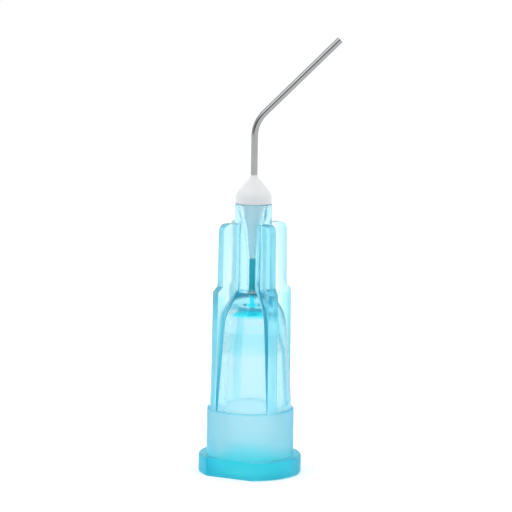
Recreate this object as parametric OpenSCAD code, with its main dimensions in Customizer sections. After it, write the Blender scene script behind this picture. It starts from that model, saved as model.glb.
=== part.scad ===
// Dispensing needle tip: a luer-lock hub moulded in one piece, with a bent steel tube glued
// into its nose. Millimetres. The hub's axis is Z, the mating face of the hub lies on z = 0,
// and the tube bends towards +X.

/* [Lug flange] */
// Diameter across the two locking lugs
lug_d = 7.8; // [7.6:0.05:8.0]
// Height of the lugs along the hub
lug_h = 1.4; // [1.2:0.05:1.8]
// Distance between the two flats that part the lugs
flats_w = 6.72; // [6.7:0.02:7.0]
// Turn of the lugs from the ribs
lug_turn = 33; // [0:1:90]
// Round on the upper edge of the lugs
lug_top_round = 0.18; // [0.05:0.01:0.3]
// Round on the lower edge of the lugs
lug_foot_round = 0.1; // [0.02:0.01:0.2]

/* [Collar] */
// Diameter of the collar where it leaves the lugs
collar_foot_d = 6.64; // [6.6:0.02:6.66]
// Diameter of the collar at its upper edge
collar_top_d = 6.58; // [6.5:0.02:6.6]
// Height of the collar's upper edge
collar_h = 4.95; // [4.6:0.05:5.4]
// Round on the collar's upper edge
collar_round = 0.12; // [0.08:0.01:0.12]

/* [Body] */
// Diameter of the conical body where it leaves the collar
body_foot_d = 6.26; // [6.1:0.02:6.3]
// Diameter of the conical body where its shoulder starts
body_top_d = 5.2; // [5.0:0.02:5.3]
// Height at which the shoulder starts
body_h = 11.4; // [11.2:0.05:11.6]
// Radius of the rounded part of the shoulder
shoulder_r = 3; // [2.6:0.1:3.4]
// Slope of the shoulder's upper part, from the hub's axis
shoulder_slope = 33; // [30:1:36]

/* [Nose] */
// Diameter of the nose where it leaves the shoulder
nose_foot_d = 2.88; // [2.82:0.01:3.0]
// Diameter of the nose at its end
nose_top_d = 2.8; // [2.78:0.01:2.82]
// Height of the nose's end
nose_h = 20.5; // [20.2:0.05:21]
// Round on the edge of the nose's end
nose_round = 0.05; // [0.02:0.01:0.05]

/* [Ribs] */
// Number of ribs around the hub
rib_count = 4; // [2:1:6]
// Thickness of a rib
rib_t = 0.8; // [0.6:0.05:1.0]
// Turn of the first rib from the plane of the bend
rib_turn = 30; // [0:1:90]
// Distance from the axis to a rib's outer face at its foot, inside the collar
rib_foot_r = 3.25; // [3.2:0.01:3.26]
// Distance from the axis to a rib's outer face below its step
rib_mid_r = 3.17; // [3.1:0.01:3.2]
// Height of the step's lower edge
rib_step_z = 13.92; // [13.6:0.02:14.2]
// Height of the sloping step
rib_step_h = 0.4; // [0.3:0.02:0.6]
// Distance from the axis to a rib's outer face above its step
rib_upper_r = 2.79; // [2.7:0.01:2.9]
// Distance from the axis to a rib's outer face at its top
rib_top_r = 2.72; // [2.6:0.01:2.78]
// Height of a rib's top
rib_h = 19.05; // [18.6:0.05:19.5]
// Round on a rib's top corner
rib_round = 0.55; // [0.3:0.05:0.8]

/* [Luer socket] */
// Diameter of the socket at its mouth
socket_mouth_d = 4.3; // [4.27:0.01:4.32]
// Taper of the socket, in diameter over length
socket_taper = 0.06; // [0.055:0.005:0.065]
// Depth of the tapered socket
socket_depth = 9.2; // [8.8:0.1:9.4]
// Width of the chamfer inside the mouth
mouth_chamfer = 0.12; // [0.05:0.01:0.2]

/* [Chamber] */
// Height at which the narrowing above the socket ends
chamber_z = 10.75; // [10.4:0.05:11]
// Diameter of the chamber where it starts
chamber_foot_d = 3.16; // [3.0:0.02:3.3]
// Diameter of the chamber just under its ceiling
chamber_top_d = 2.96; // [2.8:0.02:3.1]
// Height of the chamber's ceiling
ceiling_z = 12.45; // [12.2:0.05:12.6]
// Round between the chamber's wall and its ceiling
ceiling_round = 0.8; // [0.5:0.05:1.0]
// Diameter of the small boss that hangs from the ceiling
boss_d = 0.96; // [0.8:0.02:1.2]
// Length of the boss below the ceiling
boss_len = 0.5; // [0.3:0.05:0.6]
// Round at the boss's end
boss_round = 0.2; // [0.1:0.02:0.26]

/* [Tube seat] */
// Diameter of the flow passage under the tube
passage_d = 0.36; // [0.3:0.02:0.4]
// Height of the ledge that the tube stands on
seat_z = 13.35; // [13.2:0.05:13.6]
// Height to which the seat grips the tube
grip_z = 13.95; // [13.8:0.05:14.2]
// Radial clearance around the tube above the grip
bore_gap = 0.01; // [0.01:0.005:0.02]
// Height at which the adhesive well starts
well_z = 16.4; // [16:0.05:16.8]
// Diameter of the well where its mouth starts to widen
well_neck_d = 0.9; // [0.8:0.02:1.1]
// Height at which the well's mouth starts to widen
well_neck_z = 18.6; // [18:0.05:19]
// Diameter of the well's mouth
well_mouth_d = 1.9; // [1.6:0.02:2.1]

/* [Tube] */
// Outer diameter of the tube, 25 gauge
tube_d = 0.51; // [0.49:0.01:0.53]
// Bore of the tube
tube_bore = 0.26; // [0.24:0.01:0.28]
// Angle of the bend
bend_angle = 45; // [30:1:60]
// Radius of the bend along the tube's centre line
bend_r = 2.5; // [2:0.1:3]
// Height at which the lines of the two straight legs meet
bend_z = 26.6; // [26:0.05:27]
// Length of the sloping leg from that meeting point to the open end
leg_len = 8.9; // [8:0.05:9.5]

/* [Adhesive] */
// Diameter of the bead on the nose's end
bead_d = 2.74; // [2.6:0.01:2.76]
// Height of the bead's upright foot
bead_foot_h = 0.3; // [0.1:0.02:0.5]
// Radius of the bead's rounded flank
bead_r = 1.3; // [1.1:0.05:1.36]
// Slope of the bead's upper part, from the tube's axis
bead_slope = 42; // [38:1:46]
// Radius of the hollow where the bead rises along the tube
meniscus_r = 0.5; // [0.3:0.05:0.6]

/* [Hidden] */

$fn = 96;
// Overlap that makes unions and cuts run clean
eps = 0.02;

lug_r = lug_d / 2;
collar_foot_r = collar_foot_d / 2;
collar_top_r = collar_top_d / 2;
body_foot_r = body_foot_d / 2;
body_top_r = body_top_d / 2;
nose_foot_r = nose_foot_d / 2;
nose_top_r = nose_top_d / 2;

// Half angle of the body's cone, and the centre of the shoulder's arc that continues it
body_slope = atan((body_foot_r - body_top_r) / (body_h - collar_h));
shoulder_x = body_top_r - shoulder_r * cos(body_slope);
shoulder_z = body_h - shoulder_r * sin(body_slope);
// Where the arc passes into the shoulder's straight slope, and where that meets the nose
slope_r = shoulder_x + shoulder_r * cos(shoulder_slope);
slope_z = shoulder_z + shoulder_r * sin(shoulder_slope);
nose_foot_z = slope_z + (slope_r - nose_foot_r) / tan(shoulder_slope);

// A rib's step ends here, and the rib's foot is sunk this deep in the collar
rib_upper_z = rib_step_z + rib_step_h;
rib_root = 0.4;

socket_mouth_r = socket_mouth_d / 2;
socket_end_r = socket_mouth_r - socket_taper * socket_depth / 2;
chamber_foot_r = chamber_foot_d / 2;
chamber_top_r = chamber_top_d / 2;
boss_r = boss_d / 2;
passage_r = passage_d / 2;

tube_r = tube_d / 2;
tube_bore_r = tube_bore / 2;
bore_r = tube_r + bore_gap;
well_neck_r = well_neck_d / 2;
well_mouth_r = well_mouth_d / 2;
// Distance along each leg that the bend takes up, and how much thicker the bend is in
// radius than the legs, so that their ends sink into it cleanly
bend_cut = bend_r * tan(bend_angle / 2);
bend_swell = 0.001;

// Centre of the bead's flank, and the point where its straight slope starts
bead_foot_r = bead_d / 2;
flank_x = bead_foot_r - bead_r;
flank_z = nose_h + bead_foot_h;
cone_x = flank_x + bead_r * cos(bead_slope);
cone_z = flank_z + bead_r * sin(bead_slope);
// Centre of the meniscus, which touches both the slope and the tube
meniscus_x = tube_r + meniscus_r;
meniscus_rise = meniscus_r - (meniscus_x - cone_x) * cos(bead_slope);
meniscus_z = cone_z + meniscus_rise / sin(bead_slope);
meniscus_foot_x = meniscus_x - meniscus_r * cos(bead_slope);
meniscus_foot_z = meniscus_z - meniscus_r * sin(bead_slope);

// Radius at height z on the straight line from (r0, z0) to (r1, z1)
function along(z, r0, z0, r1, z1) = r0 + (r1 - r0) * (z - z0) / (z1 - z0);

// What a round takes off an outer corner; (x, z) is where the round leaves the upright side
module waste_above(x, z, r) {
    difference() {
        translate([x - r, z]) square(r + eps);
        translate([x - r, z]) circle(r);
    }
}

module waste_below(x, z, r) {
    difference() {
        translate([x - r, z - r - eps]) square(r + eps);
        translate([x - r, z]) circle(r);
    }
}

// Half section of the collar, which stands on the mating face
module collar_outline() {
    side_z = collar_h - collar_round;
    side_r = along(side_z, collar_foot_r, 0, collar_top_r, collar_h);
    difference() {
        polygon([[0, 0], [collar_foot_r, 0], [collar_top_r, collar_h], [0, collar_h]]);
        waste_above(side_r, side_z, collar_round);
    }
}

// Half section of the conical body and its shoulder: an arc that carries on the cone, then a
// straight slope to the nose
module body_outline() {
    polygon([
        [0, collar_h - eps],
        [body_foot_r, collar_h - eps],
        [body_foot_r, collar_h],
        [body_top_r, body_h],
        [0, body_h]
    ]);
    intersection() {
        translate([shoulder_x, shoulder_z]) circle(shoulder_r);
        translate([0, body_h - eps]) square([body_top_r, slope_z - body_h + eps]);
    }
    polygon([
        [0, slope_z - eps],
        [slope_r, slope_z - eps],
        [slope_r, slope_z],
        [nose_foot_r, nose_foot_z],
        [0, nose_foot_z]
    ]);
}

module nose_outline() {
    side_z = nose_h - nose_round;
    side_r = along(side_z, nose_foot_r, nose_foot_z, nose_top_r, nose_h);
    difference() {
        polygon([
            [0, nose_foot_z - eps],
            [nose_foot_r, nose_foot_z - eps],
            [nose_top_r, nose_h],
            [0, nose_h]
        ]);
        waste_above(side_r, side_z, nose_round);
    }
}

// Side view of one rib, from the axis outwards
module rib_outline() {
    top_z = rib_h - rib_round;
    top_r = along(top_z, rib_upper_r, rib_upper_z, rib_top_r, rib_h);
    difference() {
        polygon([
            [0, collar_h - rib_root],
            [rib_foot_r, collar_h - rib_root],
            [rib_mid_r, rib_step_z],
            [rib_upper_r, rib_upper_z],
            [rib_top_r, rib_h],
            [0, rib_h]
        ]);
        waste_above(top_r, top_z, rib_round);
    }
}

module ribs() {
    for (i = [0 : rib_count - 1])
        rotate([0, 0, rib_turn + i * 360 / rib_count])
        rotate([90, 0, 0])
        linear_extrude(rib_t, center = true)
        rib_outline();
}

// Two opposite lugs: a round disc between two flats
module lugs() {
    intersection() {
        rotate_extrude() difference() {
            square([lug_r, lug_h]);
            waste_above(lug_r, lug_h - lug_top_round, lug_top_round);
            waste_below(lug_r, lug_foot_round, lug_foot_round);
        }
        rotate([0, 0, rib_turn + lug_turn])
        cube([flats_w, 2 * lug_d, 3 * lug_h], center = true);
    }
}

// Half section of the socket, the chamber above it and the tube's seat
module cavity_outline() {
    side_z = ceiling_z - ceiling_round;
    side_r = along(side_z, chamber_foot_r, chamber_z, chamber_top_r, ceiling_z);
    difference() {
        polygon([
            [0, -eps],
            [socket_mouth_r + mouth_chamfer + eps, -eps],
            [socket_mouth_r, mouth_chamfer],
            [socket_end_r, socket_depth],
            [chamber_foot_r, chamber_z],
            [chamber_top_r, ceiling_z],
            [0, ceiling_z]
        ]);
        waste_above(side_r, side_z, ceiling_round);
        boss_outline();
    }
    // The flow passage, the tube's grip, its clearance and the adhesive well
    polygon([
        [0, ceiling_z - boss_len - eps],
        [passage_r, ceiling_z - boss_len - eps],
        [passage_r, seat_z],
        [tube_r, seat_z],
        [tube_r, grip_z],
        [bore_r, grip_z],
        [bore_r, well_z],
        [well_neck_r, well_neck_z],
        [well_mouth_r, nose_h],
        [well_mouth_r, nose_h + eps],
        [0, nose_h + eps]
    ]);
}

// The boss that the ceiling carries around the flow passage
module boss_outline() {
    end_z = ceiling_z - boss_len;
    difference() {
        translate([0, end_z]) square([boss_r, boss_len + eps]);
        waste_below(boss_r, end_z + boss_round, boss_round);
    }
}

module hub() {
    color("deepskyblue")
    difference() {
        union() {
            rotate_extrude() {
                collar_outline();
                body_outline();
                nose_outline();
            }
            ribs();
            lugs();
        }
        rotate_extrude() cavity_outline();
    }
}

// The tube's path, as a rod of radius r: an upright leg from z0, the bend, and a sloping leg
// that runs on past its end by run_on
module rod(r, z0, run_on = 0) {
    bend_foot_z = bend_z - bend_cut;
    translate([0, 0, z0])
    cylinder(r = r, h = bend_foot_z - z0 + eps);
    translate([bend_r, 0, bend_foot_z])
    rotate([90, 0, 180])
    rotate_extrude(angle = bend_angle)
    translate([bend_r, 0])
    circle(r + bend_swell);
    translate([0, 0, bend_z])
    rotate([0, bend_angle, 0])
    translate([0, 0, bend_cut - eps])
    cylinder(r = r, h = leg_len - bend_cut + eps + run_on);
}

module cannula() {
    color("silver")
    difference() {
        rod(tube_r, seat_z);
        rod(tube_bore_r, seat_z - eps, eps);
    }
}

// Half section of the adhesive: it fills the well and stands on the nose as a bead that
// rises along the tube
module adhesive_outline() {
    difference() {
        union() {
            polygon([
                [0, well_z],
                [bore_r, well_z],
                [well_neck_r, well_neck_z],
                [well_mouth_r, nose_h],
                [bead_foot_r, nose_h],
                [bead_foot_r, flank_z],
                [0, flank_z]
            ]);
            intersection() {
                translate([flank_x, flank_z]) circle(bead_r);
                translate([0, flank_z - eps]) square([bead_foot_r, cone_z - flank_z + eps]);
            }
            polygon([
                [0, cone_z - eps],
                [cone_x, cone_z - eps],
                [cone_x, cone_z],
                [meniscus_foot_x, meniscus_foot_z],
                [meniscus_x, meniscus_z],
                [0, meniscus_z]
            ]);
        }
        translate([meniscus_x, meniscus_z]) circle(meniscus_r);
        translate([0, well_z - eps]) square([tube_r, meniscus_z - well_z + 2 * eps]);
    }
}

module adhesive_bead() {
    color("white")
    rotate_extrude() adhesive_outline();
}

hub();
cannula();
adhesive_bead();
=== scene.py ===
import math

import bpy
from mathutils import Matrix, Vector


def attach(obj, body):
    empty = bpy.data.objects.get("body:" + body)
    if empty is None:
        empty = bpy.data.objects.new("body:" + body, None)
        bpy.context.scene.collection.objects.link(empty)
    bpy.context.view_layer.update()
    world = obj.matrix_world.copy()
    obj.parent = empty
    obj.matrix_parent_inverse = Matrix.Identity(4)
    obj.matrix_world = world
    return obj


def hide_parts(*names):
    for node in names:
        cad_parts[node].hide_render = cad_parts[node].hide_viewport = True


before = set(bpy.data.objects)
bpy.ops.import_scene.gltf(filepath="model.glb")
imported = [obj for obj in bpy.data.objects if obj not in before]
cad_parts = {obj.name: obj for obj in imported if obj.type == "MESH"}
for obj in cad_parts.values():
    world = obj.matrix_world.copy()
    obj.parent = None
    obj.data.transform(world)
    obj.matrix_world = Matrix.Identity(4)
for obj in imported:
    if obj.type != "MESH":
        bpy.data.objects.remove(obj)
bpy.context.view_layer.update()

MM = 0.001

# Lengths in millimetres and angles in radians, as in the part's source. What lies inside the
# hub is a few micrometres off its walls, or into them, so that no two faces coincide.
NOSE_H = 20.5
WELL_FOOT, WELL_NECK, WELL_MOUTH_R = (0.2585, 16.4), (0.44, 18.6), 0.94
BEAD_SINK = 0.004
BEAD_FOOT_R, BEAD_FOOT_H, BEAD_EDGE = 1.37, 0.3, 0.03
BEAD_R, BEAD_SLOPE, MENISCUS_R = 1.3, math.radians(42.0), 0.5
MENISCUS_END = 0.12
BEAD_BORE_R = 0.2
CAD_TUBE_R, TUBE_R, BORE_R, GRIP_R = 0.255, 0.262, 0.13, 0.258
SEAT_Z, GRIP_Z, GRIP_END_Z, IN_BEAD_Z, OPEN_Z = 13.352, 13.95, 13.97, 18.4, 19.4
BEND_Z, BEND_R, BEND_ANGLE, LEG_LEN = 26.6, 2.5, math.radians(45.0), 8.885
TIP_ROUND = 0.012

# The body's cone: its radius grown by this much of its height is the same all the way up
CONE_TAPER, CONE_R = 0.0822, 3.56

# Camera, in millimetres and degrees, with the lens's length in pixels of the photo's frame
CAMERA_PLACE, CAMERA_TILT, CAMERA_ROLL = (0.24, -189.6, 42.0), 7.66, 0.9
LENS_PIXELS, FRAME_PIXELS, SENSOR = 2535.0, 512.0, 36.0

# Light that passes the hub turns back inside it many times
BOUNCES = 24
PLASTIC_IOR, ADHESIVE_IOR = 1.49, 1.5
DYE_DENSITY = 215.0

# In metres; the floor lies just under the part, and the lamps face the part's middle
FLOOR_HALF, FLOOR_DROP, FLOOR_GLOW = 0.6, 0.00002, 0.34
MIDDLE = (0.0, 0.0, 0.016)


def mesh_piece(name, verts, faces, node, mat, smooth_angle):
    mesh = bpy.data.meshes.new(name)
    mesh.from_pydata([tuple(c * MM for c in v) for v in verts], [], faces)
    mesh.validate()
    mesh.polygons.foreach_set("use_smooth", [True] * len(mesh.polygons))
    mesh.set_sharp_from_angle(angle=math.radians(smooth_angle))
    mesh.materials.append(mat)
    obj = bpy.data.objects.new(name, mesh)
    bpy.context.scene.collection.objects.link(obj)
    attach(obj, "root")
    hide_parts(node)
    return obj


def ring_mesh(rings):
    """A closed surface from rings of points, whose last ring joins the first."""
    n = len(rings[0])
    verts = [point for ring in rings for point in ring]
    faces = []
    for i in range(len(rings)):
        a, b = i * n, ((i + 1) % len(rings)) * n
        for k in range(n):
            m = (k + 1) % n
            faces.append((a + k, a + m, b + m, b + k))
    return verts, faces


def turned(profile, sides=96):
    """A ring-shaped solid from a closed profile of (radius, z) points."""
    turns = [2 * math.pi * k / sides for k in range(sides)]
    return ring_mesh([[(r * math.cos(t), r * math.sin(t), z) for t in turns] for r, z in profile])


def arc(x, z, r, start, end, steps):
    angles = [start + (end - start) * i / steps for i in range(steps + 1)]
    return [(x + r * math.cos(a), z + r * math.sin(a)) for a in angles]


def make_bead(mat):
    """The adhesive: it fills the well, stands on the nose and rises along the tube."""
    flank_x, flank_z = BEAD_FOOT_R - BEAD_R, NOSE_H + BEAD_FOOT_H
    cone_x = flank_x + BEAD_R * math.cos(BEAD_SLOPE)
    cone_z = flank_z + BEAD_R * math.sin(BEAD_SLOPE)
    meniscus_x = CAD_TUBE_R + MENISCUS_R
    rise = MENISCUS_R - (meniscus_x - cone_x) * math.cos(BEAD_SLOPE)
    meniscus_z = cone_z + rise / math.sin(BEAD_SLOPE)
    foot_z = NOSE_H - BEAD_SINK
    profile = [(BEAD_BORE_R, WELL_FOOT[1]), WELL_FOOT, WELL_NECK, (WELL_MOUTH_R, foot_z)]
    profile += [(BEAD_FOOT_R - BEAD_EDGE, foot_z), (BEAD_FOOT_R, NOSE_H + BEAD_EDGE)]
    profile += arc(flank_x, flank_z, BEAD_R, 0.0, BEAD_SLOPE, 16)
    profile += arc(meniscus_x, meniscus_z, MENISCUS_R, math.pi + BEAD_SLOPE, math.pi + MENISCUS_END, 14)
    profile += [(BEAD_BORE_R, profile[-1][1])]
    return mesh_piece("bead", *turned(profile), "adhesive_bead", mat, 50.0)


def make_tube(mat, sides=48, bend_steps=24):
    """The steel tube: rings along its outside, and then back along its bore."""
    cut = BEND_R * math.tan(BEND_ANGLE / 2)
    # Each step of the path is x, z, the slope there and the outer radius
    path = [(0.0, SEAT_Z, 0.0, GRIP_R), (0.0, GRIP_Z, 0.0, GRIP_R), (0.0, GRIP_END_Z, 0.0, CAD_TUBE_R)]
    path += [(0.0, IN_BEAD_Z, 0.0, CAD_TUBE_R), (0.0, OPEN_Z, 0.0, TUBE_R)]
    for i in range(bend_steps + 1):
        a = BEND_ANGLE * i / bend_steps
        path.append((BEND_R - BEND_R * math.cos(a), BEND_Z - cut + BEND_R * math.sin(a), a, TUBE_R))
    for back, r in ((TIP_ROUND, TUBE_R), (0.0, TUBE_R - TIP_ROUND)):
        along = LEG_LEN - back
        path.append((along * math.sin(BEND_ANGLE), BEND_Z + along * math.cos(BEND_ANGLE), BEND_ANGLE, r))

    def ring(x, z, a, r):
        points = []
        for k in range(sides):
            t = 2 * math.pi * k / sides
            u, v = r * math.cos(t), r * math.sin(t)
            points.append((x + u * math.cos(a), v, z - u * math.sin(a)))
        return points

    rings = [ring(*step) for step in path]
    rings += [ring(x, z, a, BORE_R) for x, z, a, _ in reversed(path)]
    return mesh_piece("tube", *ring_mesh(rings), "cannula", mat, 40.0)


class Shader:
    """Short ways to add nodes to a node tree; each method gives the new node's output."""

    def __init__(self, tree):
        self.nodes, self.links = tree.nodes, tree.links

    def join(self, value, socket):
        if isinstance(value, bpy.types.NodeSocket):
            self.links.new(value, socket)
        else:
            socket.default_value = value

    def add(self, kind, **values):
        """Adds a node; a capital marks a socket, and an underscore in its name is a space."""
        node = self.nodes.new(kind)
        for key, value in values.items():
            if key[0].islower():
                setattr(node, key, value)
        for key, value in values.items():
            if not key[0].islower():
                self.join(value, node.inputs[key.replace("_", " ")])
        return node

    def maths(self, kind, *values):
        node = self.add("ShaderNodeMath", operation=kind)
        for socket, value in zip(node.inputs, values):
            self.join(value, socket)
        return node.outputs[0]

    def most(self, first, *others):
        for other in others:
            first = self.maths("MAXIMUM", first, other)
        return first

    def fade(self, value, low, high, start=0.0, end=1.0, kind="SMOOTHSTEP"):
        """Goes from start to end as value goes from low to high."""
        sockets = {"From_Min": low, "From_Max": high, "To_Min": start, "To_Max": end, "Value": value}
        return self.add("ShaderNodeMapRange", interpolation_type=kind, **sockets).outputs["Result"]

    def span(self, value, low, high):
        return self.fade(value, 0.0, 1.0, low, high, "LINEAR")

    def between(self, value, low, high, soft):
        """1 where value lies between low and high, in millimetres, with soft ends."""
        rise = self.fade(value, (low - soft) * MM, low * MM)
        fall = self.fade(value, (high + soft) * MM, high * MM)
        return self.maths("MULTIPLY", rise, fall)

    def blend(self, amount, a, b):
        return self.add("ShaderNodeMix", Factor=amount, A=a, B=b).outputs["Result"]

    def tint(self, amount, a, b):
        """Blends colours; a may be a socket or a colour, and b is a colour."""
        a = a if isinstance(a, bpy.types.NodeSocket) else (*a, 1)
        node = self.add("ShaderNodeMix", data_type="RGBA", Factor=amount, A=a, B=(*b, 1))
        return node.outputs["Result"]

    def mix(self, amount, a, b):
        node = self.add("ShaderNodeMixShader", Fac=amount)
        self.links.new(a, node.inputs[1])
        self.links.new(b, node.inputs[2])
        return node.outputs[0]

    def place(self):
        """The point's own x, y and z, which are also the CAD's."""
        coord = self.add("ShaderNodeTexCoord")
        return self.add("ShaderNodeSeparateXYZ", Vector=coord.outputs["Object"]).outputs

    def noise(self, scale, detail=3.0, stretch=(1.0, 1.0, 1.0)):
        coord = self.add("ShaderNodeTexCoord")
        at = self.add("ShaderNodeMapping", Vector=coord.outputs["Object"], Scale=stretch)
        node = self.add("ShaderNodeTexNoise", Vector=at.outputs["Vector"], Scale=scale, Detail=detail)
        return node.outputs["Fac"]

    def bump(self, height, strength, distance):
        node = self.add("ShaderNodeBump", Height=height, Strength=strength, Distance=distance)
        return node.outputs["Normal"]


def new_material(name):
    mat = bpy.data.materials.new(name)
    mat.use_nodes = True
    return mat, Shader(mat.node_tree), mat.node_tree.nodes["Principled BSDF"]


def finish_material(shader, surface):
    shader.links.new(surface, shader.nodes["Material Output"].inputs["Surface"])


def hub_material():
    """Cyan plastic: clear on the body's cone and inside, matt on the collar and the ribs, with
    a little milky surface. Zones of tint stand in for the dye in its thick parts on the flange, the ribs
    and the socket's narrowing; the darker zones at the chamber's ceiling and around the tube are painted
    shade."""
    mat, s, p = new_material("cyan polypropylene")
    cloud = s.noise(260.0)
    x, y, height = s.place()
    flat = s.add("ShaderNodeCombineXYZ", X=x, Y=y)
    away = s.add("ShaderNodeVectorMath", operation="LENGTH")
    s.links.new(flat.outputs["Vector"], away.inputs[0])
    radius = away.outputs["Value"]
    grown = s.maths("MULTIPLY_ADD", height, CONE_TAPER, radius)
    cone = s.between(grown, -1.0, CONE_R, 0.05)
    rib = s.span(cone, 1.0, 0.0)
    flange = s.between(height, -1.0, 1.3, 0.15)

    def zone(limits, across):
        return s.maths("MULTIPLY", s.between(height, *limits), across)

    colour = s.tint(cloud, (0.96, 0.985, 1.0), (0.99, 0.995, 1.0))
    zones = (
        (flange, (0.22, 0.99, 1.0)),
        # The chamber's ceiling and its boss: painted shade, a dark line where the ceiling is seen
        # through the plastic
        (zone((12.0, 13.3, 0.25), s.between(radius, -1.0, 1.5, 0.2)), (0.04, 0.96, 1.0)),
        # The narrowing at the end of the socket
        (zone((9.15, 10.75, 0.06), s.between(radius, -1.0, 2.0, 0.05)), (0.74, 0.985, 1.0)),
        # The bore around the tube: painted shade that darkens the plastic where the tube is seen inside
        # it
        (zone((13.3, 16.3, 0.1), s.between(radius, -1.0, 0.3, 0.05)), (0.01, 0.9, 1.0)),
        # The ribs, below and above their step
        (zone((5.0, 13.5, 0.3), rib), (0.6, 0.965, 1.0)),
        (zone((13.8, 19.3, 0.3), rib), (0.8, 0.985, 1.0)),
    )
    for amount, tint in zones:
        colour = s.tint(amount, colour, tint)
    s.join(colour, p.inputs["Base Color"])

    gloss = s.blend(cone, s.span(cloud, 0.26, 0.34), s.span(cloud, 0.15, 0.21))
    collar = s.between(height, -1.0, 4.9, 0.2)
    s.join(s.blend(collar, gloss, s.span(cloud, 0.36, 0.44)), p.inputs["Roughness"])
    s.join(s.bump(s.noise(900.0), 0.25, 0.00003), p.inputs["Normal"])
    p.inputs["Specular Tint"].default_value = (0.35, 0.9, 1.0, 1)
    p.inputs["Transmission Weight"].default_value = 1.0
    p.inputs["IOR"].default_value = PLASTIC_IOR

    milk = s.add("ShaderNodeBsdfTranslucent", Color=(0.04, 0.85, 1.0, 1)).outputs[0]
    skin = s.add("ShaderNodeBsdfDiffuse", Color=(0.02, 0.72, 0.95, 1)).outputs[0]
    clear_cone = zone((4.9, 30.0, 0.1), cone)
    # How much of the surface is milky: most on the flange, least on the cone above the collar
    cover = s.blend(flange, s.span(clear_cone, 0.085, 0.055), 0.16)
    finish_material(s, s.mix(cover, p.outputs[0], s.mix(0.35, milk, skin)))
    dye = s.add("ShaderNodeVolumeAbsorption", Color=(0.0, 0.81, 0.97, 1), Density=DYE_DENSITY)
    s.links.new(dye.outputs[0], s.nodes["Material Output"].inputs["Volume"])
    return mat


def adhesive_material():
    mat, s, p = new_material("cloudy adhesive")
    cloud = s.noise(700.0)
    s.join(s.tint(cloud, (0.93, 0.96, 0.98), (0.97, 0.985, 1.0)), p.inputs["Base Color"])
    s.join(s.span(cloud, 0.12, 0.3), p.inputs["Roughness"])
    s.join(s.bump(s.noise(420.0), 0.3, 0.0001), p.inputs["Normal"])
    p.inputs["IOR"].default_value = ADHESIVE_IOR
    _, _, height = s.place()
    # Outside the nose the adhesive lets a little light straight through
    top, bottom = (NOSE_H + 0.1) * MM, (NOSE_H - 0.1) * MM
    through = s.fade(height, top, bottom, 0.08, 0.0, "LINEAR")
    clear = s.add("ShaderNodeBsdfTransparent").outputs[0]
    finish_material(s, s.mix(through, p.outputs[0], clear))
    return mat


def steel_material():
    mat, s, p = new_material("stainless steel tube")
    grain = s.noise(1500.0, 4.0, (6.0, 6.0, 0.4))
    s.join(s.tint(s.noise(500.0), (0.32, 0.325, 0.335), (0.42, 0.425, 0.435)), p.inputs["Base Color"])
    s.join(s.span(grain, 0.1, 0.2), p.inputs["Roughness"])
    s.join(s.bump(grain, 0.1, 0.00001), p.inputs["Normal"])
    p.inputs["Metallic"].default_value = 1.0
    return mat


def make_camera():
    """A long lens, looking slightly down and rolled a little."""
    data = bpy.data.cameras.new("camera")
    data.sensor_width = SENSOR
    data.lens = SENSOR * LENS_PIXELS / FRAME_PIXELS
    data.clip_start, data.clip_end = 0.01, 5.0
    cam = bpy.data.objects.new("camera", data)
    bpy.context.scene.collection.objects.link(cam)
    bpy.context.scene.camera = cam
    tilt, roll = math.radians(CAMERA_TILT), math.radians(CAMERA_ROLL)
    look = Vector((0.0, math.cos(tilt), -math.sin(tilt)))
    aim = look.to_track_quat("-Z", "Y").to_matrix().to_4x4()
    place = Matrix.Translation(Vector(CAMERA_PLACE) * MM)
    cam.matrix_world = place @ aim @ Matrix.Rotation(roll, 4, "Z")


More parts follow.
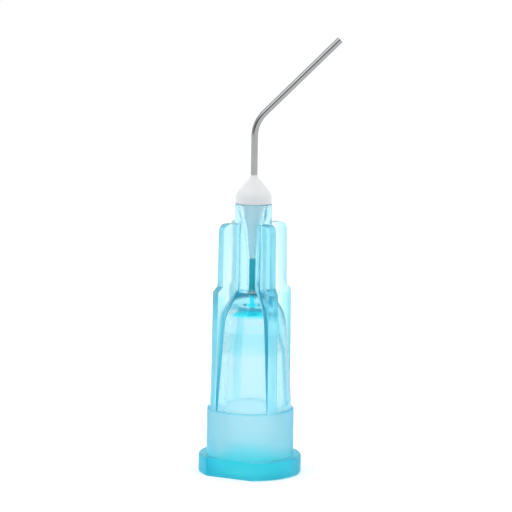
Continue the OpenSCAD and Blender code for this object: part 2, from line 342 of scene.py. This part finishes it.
def make_world():
    """White all round; bare reflections also show the dim room low on the camera's side."""
    world = bpy.data.worlds.new("studio")
    bpy.context.scene.world = world
    world.use_nodes = True
    s = Shader(world.node_tree)
    coord = s.add("ShaderNodeTexCoord")
    _, back, up = s.add("ShaderNodeSeparateXYZ", Vector=coord.outputs["Generated"]).outputs
    room = s.most(s.fade(back, -0.8, 0.5, 0.25, 1.0), s.fade(up, 0.2, 0.7))
    path = s.add("ShaderNodeLightPath").outputs
    seen = s.most(path["Is Camera Ray"], path["Is Transmission Ray"], path["Transmission Depth"])
    level = s.add("ShaderNodeClamp", Value=s.most(room, seen)).outputs["Result"]
    s.join(level, s.nodes["Background"].inputs["Color"])
    s.nodes["Background"].inputs["Strength"].default_value = 1.0


def make_floor():
    """A pale floor that shows as white and keeps the object's shadow."""
    half, z = FLOOR_HALF, -FLOOR_DROP
    corners = [(-half, -half, z), (half, -half, z), (half, half, z), (-half, half, z)]
    mesh = bpy.data.meshes.new("floor")
    mesh.from_pydata(corners, [], [(0, 1, 2, 3)])
    obj = bpy.data.objects.new("floor", mesh)
    bpy.context.scene.collection.objects.link(obj)
    mat, s, p = new_material("white floor")
    s.nodes.remove(p)
    diffuse = s.add("ShaderNodeBsdfDiffuse", Color=(0.8, 0.8, 0.8, 1))
    path = s.add("ShaderNodeLightPath").outputs
    seen = s.most(path["Is Camera Ray"], path["Is Transmission Ray"], path["Is Glossy Ray"])
    glow = s.add("ShaderNodeEmission", Strength=s.maths("MULTIPLY", seen, FLOOR_GLOW))
    both = s.add("ShaderNodeAddShader")
    s.links.new(diffuse.outputs[0], both.inputs[0])
    s.links.new(glow.outputs[0], both.inputs[1])
    finish_material(s, both.outputs[0])
    mesh.materials.append(mat)


def lamp(name, place, size, watts):
    """A square lamp that faces the middle of the part."""
    data = bpy.data.lights.new(name, "AREA")
    data.shape = "SQUARE"
    data.size = size
    data.energy = watts
    obj = bpy.data.objects.new(name, data)
    bpy.context.scene.collection.objects.link(obj)
    eye = Vector(place)
    aim = (Vector(MIDDLE) - eye).to_track_quat("-Z", "Y").to_matrix().to_4x4()
    obj.matrix_world = Matrix.Translation(eye) @ aim


scene = bpy.context.scene
scene.view_settings.view_transform = "Standard"
scene.cycles.max_bounces = BOUNCES
scene.cycles.transmission_bounces = BOUNCES
make_camera()
make_world()
make_floor()
lamp("key", (-0.22, -0.2, 0.3), 0.3, 0.28)
lamp("fill", (0.3, -0.16, 0.16), 0.3, 0.12)
make_bead(adhesive_material())
make_tube(steel_material())
hub_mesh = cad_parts["hub"].data
hub_mesh.materials.clear()
hub_mesh.materials.append(hub_material())
